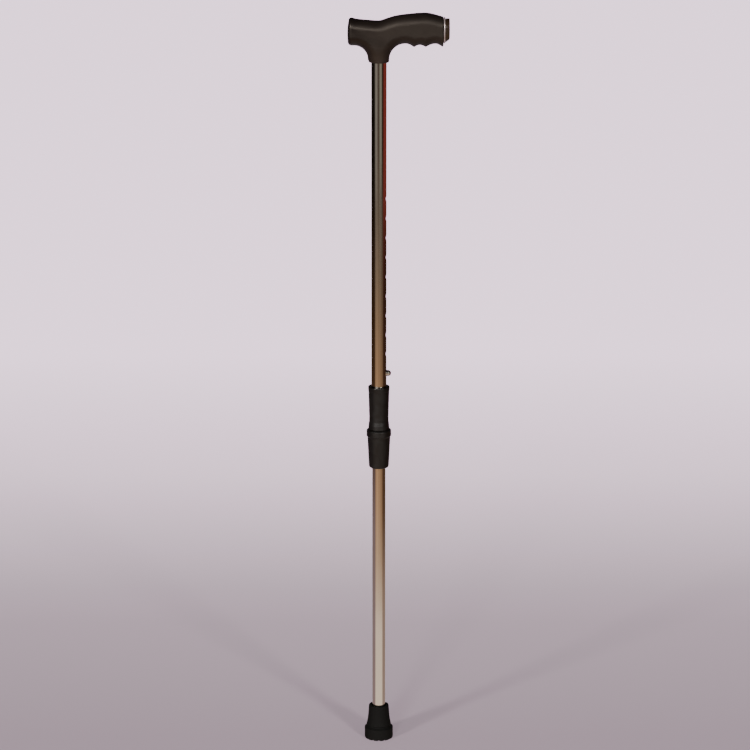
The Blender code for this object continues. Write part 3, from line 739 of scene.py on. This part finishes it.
def lower_tube():
    return tube("lower_tube_skin", "lower_tube", 1.0 * MM, [BUTTON_Z])


def button():
    """The domed snap button, with a polished crown, its flange inside the tubes and a stem behind."""
    tip, start, steps = high("snap_button").x, 3.1 * MM, 12
    flange = (high("snap_button").z - low("snap_button").z) / 2
    profile = [(0.0, BUTTON_STEM_R - 0.1 * MM), (0.1 * MM, BUTTON_STEM_R), (1.8 * MM, BUTTON_STEM_R),
               (1.82 * MM, flange - 0.1 * MM), (1.9 * MM, flange), (2.7 * MM, flange),
               (2.8 * MM, flange - 0.1 * MM), (2.82 * MM, BUTTON_R)]
    for step in range(steps + 1):
        angle = math.pi / 2 * step / steps
        along = tip - start - BUTTON_R * (1 - math.sin(angle))
        profile.append((along, max(BUTTON_R * math.cos(angle), 0.02 * MM)))
    made = rod((start, 0, BUTTON_Z), (1, 0, BUTTON_Z), profile, 64)
    made.name = "snap_button_dome"
    return made


def leaf_spring():
    """The V leaf inside the lower tube, with a smoothly rolled bend."""
    box_low, box_high = low("button_spring"), high("button_spring")
    thick, wide = 0.7 * MM, (box_high.y - box_low.y) / 2
    leg_a, leg_b = box_high.x - thick / 2, box_low.x + thick / 2
    bend_r = (leg_a - leg_b) / 2 - 1.2 * MM
    bend = Vector(((leg_a + leg_b) / 2, BUTTON_Z - 42 * MM))
    path = [Vector((leg_a, box_high.z)), Vector((leg_a, BUTTON_Z)), Vector((leg_a, BUTTON_Z - 12 * MM))]
    for step in range(25):
        angle = math.pi * step / 24
        path.append(bend + Vector((math.cos(angle), -math.sin(angle))) * bend_r)
    path += [Vector((leg_b, BUTTON_Z - 24 * MM)), Vector((leg_b, BUTTON_Z)), Vector((leg_b, box_high.z))]
    rings = []
    for i, here in enumerate(path):
        into = (here - path[max(i - 1, 0)]).normalized()
        out = (path[min(i + 1, len(path) - 1)] - here).normalized()
        along = (into + out).normalized()
        side = Vector((-along.y, along.x)) * thick / 2
        corners = ((side, wide), (side, -wide), (-side, -wide), (-side, wide))
        rings.append([(here.x + s.x, y, here.y + s.y) for s, y in corners])
    spring = loft("leaf", rings)
    hole_r = BUTTON_STEM_R + GAP
    hole = rod((leg_a - 2 * MM, 0, BUTTON_Z), (1, 0, BUTTON_Z), ((0, hole_r), (4 * MM, hole_r)))
    cut(spring, hole)
    spring.name = "leaf_spring"
    return smooth(spring)


def top_plug():
    top, foot, r = high("tube_top_plug").z, low("tube_top_plug").z, high("tube_top_plug").x
    made = turned("top_plug", [(0, top), (r, top, 0.8 * MM), (r, foot, 0.8 * MM), (0, foot)], closed=False)
    return smooth(cut(made, screw_hole(0, 12 * MM)))


def bush():
    """The guide bush, with three shallow grease grooves round its head."""
    top, foot, r = high("guide_bush").z, low("guide_bush").z, high("guide_bush").x
    rim, stem, bore = top - 5 * MM, LOWER_R - 1.3 * MM, 5.6 * MM
    points = [(r, top, 0.8 * MM)]
    for k in range(1, 4):
        z = top - k * 1.15 * MM
        points += [(r, z + 0.2 * MM), (r - 0.25 * MM, z), (r, z - 0.2 * MM)]
    points += [(r, rim, 0.2 * MM), (stem, rim), (stem, foot, 0.6 * MM), (bore, foot, 0.3 * MM)]
    points.append((bore, top, 0.3 * MM))
    return turned("bush", points)


def washer():
    top, foot, r = high("tip_washer").z, low("tip_washer").z, high("tip_washer").x
    bore, edge = 3.2 * MM, 0.15 * MM
    return turned("washer", [(r, top, edge), (r, foot, edge), (bore, foot, edge), (bore, top, edge)])


# ---------------------------------------------------------------- collar and tip

SPIGOT_R = 11.7 * MM
THREAD_PITCH = 2.5 * MM
THREAD_DEPTH = 0.8 * MM
NUT_ROOM = 0.4 * MM
NOTCHES = 14  # round the tip's foot


def thread_radius(angle, z, crest):
    """The radius of a right-hand thread at an angle and height, with slightly flattened crests."""
    turn = (z / THREAD_PITCH - angle / (2 * math.pi)) % 1.0
    wave = abs(turn - 0.5) * 2
    return crest - THREAD_DEPTH * min(max(1.3 * wave - 0.15, 0.0), 1.0)


def threaded(name, outer, foot, top, crest, inside):
    """A turned outline whose stretch from foot to top is a thread: on its inner side if inside is set."""
    rows = int(round((top - foot) / (THREAD_PITCH / 10)))
    run = [(foot + (top - foot) * k / rows) for k in range(rows + 1)]
    outline = rounded(outer)
    count = len(outline) + len(run)
    verts = []
    for k in range(SIDES):
        angle = 2 * math.pi * k / SIDES
        c, s = math.cos(angle), math.sin(angle)
        verts += [(p.x * c, p.x * s, p.y) for p in outline]
        for z in (run if inside else reversed(run)):
            fade = min((z - foot) / THREAD_PITCH, (top - z) / THREAD_PITCH, 1.0)
            root = crest - THREAD_DEPTH
            deep = thread_radius(angle, z, crest)
            r = deep if inside else root + (deep - root) * fade
            verts.append((r * c, r * s, z))
    faces = []
    for k in range(SIDES):
        a, b = k * count, (k + 1) % SIDES * count
        for i in range(count):
            j = (i + 1) % count
            faces.append((a + i, a + j, b + j, b + i))
    return smooth(piece_from(name, verts, faces), math.radians(50))


def sleeve():
    """The collar's sleeve: a rolled lip, a fine step, a waist, a swelling foot and a threaded spigot."""
    foot, spigot_foot = high("lock_nut").z + 0.4 * MM, low("collar_sleeve").z
    seat, bore, step_z = UPPER_R + GAP, LOWER_R + GAP, low("upper_tube").z - GAP
    neck = SPIGOT_R - THREAD_DEPTH - 0.3 * MM
    outer = [
        (bore, spigot_foot, 0.3 * MM),
        (bore, step_z),
        (seat, step_z),
        (seat, SLEEVE_TOP, 0.35 * MM),
        (13.95 * MM, SLEEVE_TOP, 1.25 * MM),
        (13.7 * MM, 476.0 * MM, 0.4 * MM),
        (13.4 * MM, 475.2 * MM, 0.3 * MM),
        (12.5 * MM, 440.5 * MM, 3.0 * MM),
        (12.6 * MM, 435.2 * MM, 2.0 * MM),
        (13.3 * MM, 430.0 * MM, 1.2 * MM),
        (13.55 * MM, foot, 0.5 * MM),
        (neck, foot, 0.2 * MM),
        (neck, foot - 0.8 * MM),
    ]
    return threaded("sleeve", outer, spigot_foot + 0.4 * MM, foot - 1.0 * MM, SPIGOT_R, False)


def nut():
    """The lock nut: a proud band on top, a long taper below and a rolled foot."""
    top, foot, r = high("lock_nut").z, low("lock_nut").z, high("lock_nut").x
    bore, seat_r, seat_z, bore_z = LOWER_R + 0.5 * MM, 10.6 * MM, 378.5 * MM, 394.5 * MM
    thread_r = SPIGOT_R + NUT_ROOM
    outer = [
        (thread_r + 0.4 * MM, top, 0.2 * MM),
        (14.6 * MM, top, 0.5 * MM),
        (r, top - 1.5 * MM, 0.7 * MM),
        (r, top - 8.4 * MM, 0.8 * MM),
        (14.8 * MM, top - 9.8 * MM, 0.6 * MM),
        (12.8 * MM, foot, 2.8 * MM),
        (bore, foot, 0.5 * MM),
        (bore, seat_z),
        (seat_r, seat_z),
        (thread_r, bore_z),
        (thread_r, bore_z + 0.5 * MM),
    ]
    return threaded("nut", outer, bore_z + 1.0 * MM, top - 0.8 * MM, thread_r, True)


def clamp():
    """The split clamp ring, its cone under a short cylinder."""
    top, foot, r = high("clamp_ring").z, low("clamp_ring").z, high("clamp_ring").x
    bore, foot_r = LOWER_R + GAP, 10.3 * MM
    made = turned("clamp", [
        (r, top, 0.3 * MM), (r, top - 1.3 * MM, 0.3 * MM), (foot_r, foot, 0.3 * MM), (bore, foot, 0.2 * MM),
        (bore, top, 0.2 * MM)])
    slit = loft("slit", [[(x, y, z) for x, y in ((-MM, 6 * MM), (MM, 6 * MM), (MM, 15 * MM), (-MM, 15 * MM))]
                         for z in (foot - MM, top + MM)])
    return smooth(cut(made, slit))


def ferrule():
    """The rubber tip: a boot with a rolled mouth, a creased shoulder and a broad, notched foot."""
    top, foot_r, tread = high("rubber_tip").z, high("rubber_tip").y, 1.8 * MM
    bore, floor = LOWER_R + GAP, 4.9 * MM
    outer = [
        (0.0, floor),
        (bore, floor, 0.3 * MM),
        (bore, top - 1.4 * MM, 0.4 * MM),
        (bore + 1.4 * MM, top, 0.5 * MM),
        (13.0 * MM, top, 1.7 * MM),
        (13.5 * MM, 37.0 * MM, 6 * MM),
        (14.1 * MM, 30.0 * MM, 6 * MM),
        (14.7 * MM, 25.5 * MM, 4 * MM),
        (15.4 * MM, 22.0 * MM, 2 * MM),
        (16.1 * MM, 18.9 * MM, 0.5 * MM),
        (15.5 * MM, 17.8 * MM, 0.35 * MM),
        (16.2 * MM, 16.7 * MM, 0.5 * MM),
        (foot_r, 14.6 * MM, 1.0 * MM),
        (foot_r, 0.0, 1.4 * MM),
    ]
    for edge, inner in ((14.6, 12.4), (9.6, 7.4)):
        outer += [(edge * MM, 0.0, 0.25 * MM), ((edge - 0.4) * MM, tread, 0.2 * MM),
                  (inner * MM, tread, 0.2 * MM), ((inner - 0.4) * MM, 0.0, 0.25 * MM)]
    outer.append((0.0, 0.0))
    boot = turned("ferrule", outer, closed=False, sides=224)
    inner, outer_r, half = 15.2 * MM, 20 * MM, 1.3 * MM
    ring = (inner, -half), (outer_r, -half), (outer_r, half), (inner, half)
    slots = []
    for number in range(NOTCHES):
        slot = loft("slot", [[(x, y * share, z) for x, y in ring]
                             for z, share in ((-MM, 1.15), (0.0, 1.0), (tread, 0.85))])
        slot.data.transform(Matrix.Rotation(2 * math.pi * (number + 0.5) / NOTCHES, 4, "Z"))
        slots.append(slot)
    return smooth(cut(boot, joined("slots", slots)))


# ---------------------------------------------------------------- the cane


def build_cane():
    black, polished, collar = handle_plastic(), polished_tube(), collar_plastic()
    steel = plated_steel("zinc_steel", (0.52, 0.50, 0.48), 0.28)
    crown = plated_steel("button_steel", (0.62, 0.56, 0.50), 0.20)
    white = nylon()
    placed(handle(), "shaft", "handle_black", black, "handle_grip")
    placed(end_ring(), "shaft", "trim_bright", trim_bright(), "handle_end_ring")
    placed(end_cap(), "shaft", "cap_bronze", cap_bronze(), "handle_end_cap")
    placed(neck_screw(), "shaft", "zinc_steel", steel, "handle_screw")
    placed(top_plug(), "shaft", "bush_nylon", white, "tube_top_plug")
    placed(upper_tube(), "shaft", "tube_polished", polished, "upper_tube")
    placed(sleeve(), "shaft", "collar_black", collar, "collar_sleeve")
    placed(nut(), "nut", "collar_black", collar, "lock_nut")
    placed(clamp(), "clamp", "bush_nylon", white, "clamp_ring")
    placed(lower_tube(), "leg", "tube_polished", polished, "lower_tube")
    placed(bush(), "leg", "bush_nylon", white, "guide_bush")
    placed(button(), "button", "zinc_steel", crown, "snap_button")
    bend = "button", (SPRING_LEG, 0, BUTTON_Z), (BUTTON_LEG, 0, BUTTON_Z)
    placed(leaf_spring(), "leg", "zinc_steel", steel, "button_spring", bend=bend)
    placed(washer(), "leg", "zinc_steel", steel, "tip_washer")
    placed(ferrule(), "leg", "tip_rubber", tip_rubber(), "rubber_tip")


# ---------------------------------------------------------------- studio

ROOM_R = 3.7
ROOM_FOOT = -0.05
ROOM_TOP = 3.2
FLOOR_HALF = 60.0
DARK = (0.006, 0.004, 0.003)
CLOTH = (0.62, 0.56, 0.62)
SUNS = (("key_left", -41, 18, 2.15), ("key_right", 29, 20, 1.95), ("front", -14, 17, 1.2))
SUN_WIDTH = math.radians(8)
SUN_COLOUR = (1.0, 0.965, 0.93)
CAMERA_PLACE = (-0.005, -3.911, 1.544)
CAMERA_TILT = math.radians(75)
CAMERA_LENS = 151.2


def card_material(name, paint):
    """An emission material. paint(finish) gives its colour socket."""
    made = Finish(name, (0, 0, 0))
    glow = made.node("ShaderNodeEmission", {"Color": paint(made), "Strength": 1.0})
    output = made.tree.nodes["Material Output"]
    made.tree.links.new(glow.outputs[0], output.inputs["Surface"])
    made.tree.nodes.remove(made.shader)
    return made.material


def reflected_only(made, material):
    """A studio card that shows only in gloss: nothing else sees it."""
    made.data.materials.append(material)
    made.visible_camera = False
    made.visible_diffuse = False
    made.visible_shadow = False
    made.visible_transmission = False
    made.visible_volume_scatter = False


def bearing(finish):
    """Degrees round the cane from the camera's side towards +X, from -180 to 180."""
    toward_camera = finish.math("MULTIPLY", finish.coordinate("Y"), -1.0)
    turn = finish.math("ARCTAN2", finish.coordinate("X"), toward_camera)
    return finish.math("MULTIPLY", turn, 180 / math.pi)


def bands(finish, value, first, last, stops):
    """A colour ramp over a range of a value, from a short list of (value, colour)."""
    factor = finish.between(value, first, last)
    ramp = finish.node("ShaderNodeValToRGB", {"Fac": factor})
    ramp.color_ramp.interpolation = "LINEAR"
    elements = ramp.color_ramp.elements
    while len(elements) > 1:
        elements.remove(elements[-1])
    for number, (at, colour) in enumerate(stops):
        position = (at - first) / (last - first)
        element = elements[0] if number == 0 else elements.new(position)
        element.position = position
        element.color = (*colour, 1.0)
    return ramp.outputs[0]


def wall_colour(finish):
    """The room as the tubes show it: two pale strips in the dark, a red one to the right, cloth behind.

    It is dark all round above the tubes' reach.
    """
    around = bands(finish, bearing(finish), -180, 180, (
        (-180, CLOTH), (-152, CLOTH), (-146, DARK), (-68, DARK), (-55, (0.20, 0.185, 0.175)),
        (-30, (0.23, 0.215, 0.20)), (-17, (0.055, 0.035, 0.032)), (3, (0.060, 0.042, 0.036)),
        (13, (0.235, 0.235, 0.20)), (37, (0.21, 0.21, 0.175)), (48, (0.030, 0.014, 0.006)),
        (68, (0.028, 0.010, 0.006)), (74, (0.20, 0.032, 0.026)), (140, (0.19, 0.030, 0.024)),
        (148, CLOTH), (180, CLOTH)))
    return finish.mix(finish.between(finish.coordinate("Z"), 0.5, 1.1), around, DARK)


def floor_colour(finish):
    """The floor as the tubes show it: cloth round the foot, then warm brown that darkens with distance."""
    flat = finish.node("ShaderNodeCombineXYZ", {"X": finish.coordinate("X"), "Y": finish.coordinate("Y")})
    away = finish.node("ShaderNodeVectorMath", {0: flat.outputs[0]}, operation="LENGTH").outputs["Value"]
    turn = bearing(finish)
    front = bands(finish, away, 0.0, ROOM_R, (
        (0.0, (0.92, 0.78, 0.68)), (0.45, (0.86, 0.70, 0.59)), (0.75, (0.66, 0.46, 0.31)),
        (1.05, (0.60, 0.36, 0.21)), (1.5, (0.50, 0.30, 0.17)), (2.0, (0.40, 0.235, 0.135)),
        (2.3, (0.31, 0.205, 0.13)), (2.85, (0.175, 0.130, 0.098)), (3.5, (0.15, 0.12, 0.10))))
    near = finish.between(away, 0.4, 1.0)
    streaks = bands(finish, turn, -70, 70, (
        (-70, (0.72,) * 3), (-45, (0.85,) * 3), (-30, (1.0,) * 3), (-14, (0.95,) * 3), (-4, (0.72,) * 3),
        (7, (0.84,) * 3), (18, (0.72,) * 3), (38, (0.56,) * 3), (58, (0.5,) * 3)))
    streaks = finish.mix(near, (1.0, 1.0, 1.0), streaks)
    front = finish.node("ShaderNodeVectorMath", {0: front, 1: streaks}, operation="MULTIPLY").outputs[0]
    left = bands(finish, away, 0.0, ROOM_R, (
        (0.0, (0.31, 0.23, 0.24)), (0.9, (0.23, 0.165, 0.18)), (1.4, (0.10, 0.06, 0.05)),
        (1.8, (0.05, 0.022, 0.008)), (3.6, DARK)))
    right = bands(finish, away, 0.0, ROOM_R, (
        (0.0, (0.36, 0.27, 0.25)), (0.6, (0.31, 0.22, 0.18)), (1.0, (0.10, 0.052, 0.028)),
        (1.9, (0.045, 0.018, 0.010)), (3.0, (0.020, 0.008, 0.004)), (3.35, (0.17, 0.030, 0.024))))
    ahead = finish.mix(finish.between(turn, -68, -52), left, front)
    sides = finish.mix(finish.between(turn, 54, 72), ahead, right)
    rear = finish.between(finish.math("ABSOLUTE", turn), 144, 152)
    return finish.mix(rear, sides, CLOTH)


def ceiling_colour(finish):
    return bands(finish, finish.noise(0.5), 0, 1, ((0.0, DARK), (1.0, (0.02, 0.018, 0.016))))


def build_room():
    """A drum of reflected-only cards round the cane."""
    angles = [math.radians(a) for a in range(0, 360, 3)]
    circle = [(ROOM_R * math.cos(a), ROOM_R * math.sin(a)) for a in angles]
    wall = loft("room_card", [[(x, y, z) for x, y in circle] for z in (ROOM_FOOT, ROOM_TOP)], cap=False)
    reflected_only(wall, card_material("room_card", wall_colour))
    for name, z, paint in (("floor_card", -0.004, floor_colour), ("ceiling_card", ROOM_TOP, ceiling_colour)):
        disc = piece_from(name, [(x, y, z) for x, y in circle], [tuple(range(len(circle)))])
        reflected_only(disc, card_material(name, paint))


def build_floor():
    """A plain pale floor with painted shade that lightens with distance, and a painted glow that is
    strongest at the back.
    """
    corners = [(x * FLOOR_HALF, y * FLOOR_HALF, 0) for x, y in ((-1, -1), (1, -1), (1, 1), (-1, 1))]
    floor = piece_from("floor", corners, [(0, 1, 2, 3)])
    cloth = Finish("floor_cloth", (0.9, 0.8, 0.88), roughness=0.92, Specular_IOR_Level=0.1)
    away = cloth.coordinate("Y")
    # Painted shade: the floor's colour darkens towards the camera and the cane.
    shade = bands(cloth, away, -1.0, 3.0, (
        (-1.0, (0.34, 0.27, 0.315)), (0.0, (0.38, 0.30, 0.353)), (0.45, (0.47, 0.375, 0.44)),
        (0.75, (0.62, 0.50, 0.585)), (1.2, (0.86, 0.67, 0.81)), (2.0, (1.0, 0.77, 0.96))))
    cloth.colour(shade)
    # Painted glow: the floor gives off light of its own, more with distance.
    cloth.tree.links.new(shade, cloth.shader.inputs["Emission Color"])
    cloth.tree.links.new(cloth.between(away, 0.6, 2.0, 0.53, 1.3), cloth.shader.inputs["Emission Strength"])
    floor.data.materials.append(cloth.material)
    floor.visible_glossy = False


def build_sky():
    """A soft pale horizon that darkens upwards."""
    world = bpy.data.worlds.new("studio")
    bpy.context.scene.world = world
    world.use_nodes = True
    tree = world.node_tree
    sky = tree.nodes["Background"]
    aim = tree.nodes.new("ShaderNodeSeparateXYZ")
    tree.links.new(tree.nodes.new("ShaderNodeTexCoord").outputs["Generated"], aim.inputs[0])
    ramp = tree.nodes.new("ShaderNodeValToRGB")
    tree.links.new(aim.outputs["Z"], ramp.inputs["Fac"])
    ramp.color_ramp.elements[0].color = (0.95, 0.90, 0.95, 1.0)
    ramp.color_ramp.elements[1].color = (0.04, 0.037, 0.04, 1.0)
    ramp.color_ramp.elements[1].position = 0.55
    tree.links.new(ramp.outputs[0], sky.inputs["Color"])
    sky.inputs["Strength"].default_value = 1.0


def build_suns():
    """Broad low suns, each at degrees from the camera's side towards +X and degrees up."""
    for name, side_degrees, up_degrees, power in SUNS:
        data = bpy.data.lights.new(name, "SUN")
        data.energy = power
        data.angle = SUN_WIDTH
        data.color = SUN_COLOUR
        light = bpy.data.objects.new(name, data)
        side, up = math.radians(side_degrees), math.radians(up_degrees)
        toward = Vector((math.sin(side) * math.cos(up), -math.cos(side) * math.cos(up), math.sin(up)))
        light.rotation_euler = toward.to_track_quat("Z", "Y").to_euler()
        light.location = toward * 3
        bpy.context.scene.collection.objects.link(light)


def build_camera():
    data = bpy.data.cameras.new("camera")
    data.lens = CAMERA_LENS
    data.sensor_width = 36.0
    camera = bpy.data.objects.new("camera", data)
    camera.location = CAMERA_PLACE
    camera.rotation_euler = (CAMERA_TILT, 0, 0)
    bpy.context.scene.collection.objects.link(camera)
    bpy.context.scene.camera = camera


build_cane()
build_room()
build_floor()
build_sky()
build_suns()
build_camera()
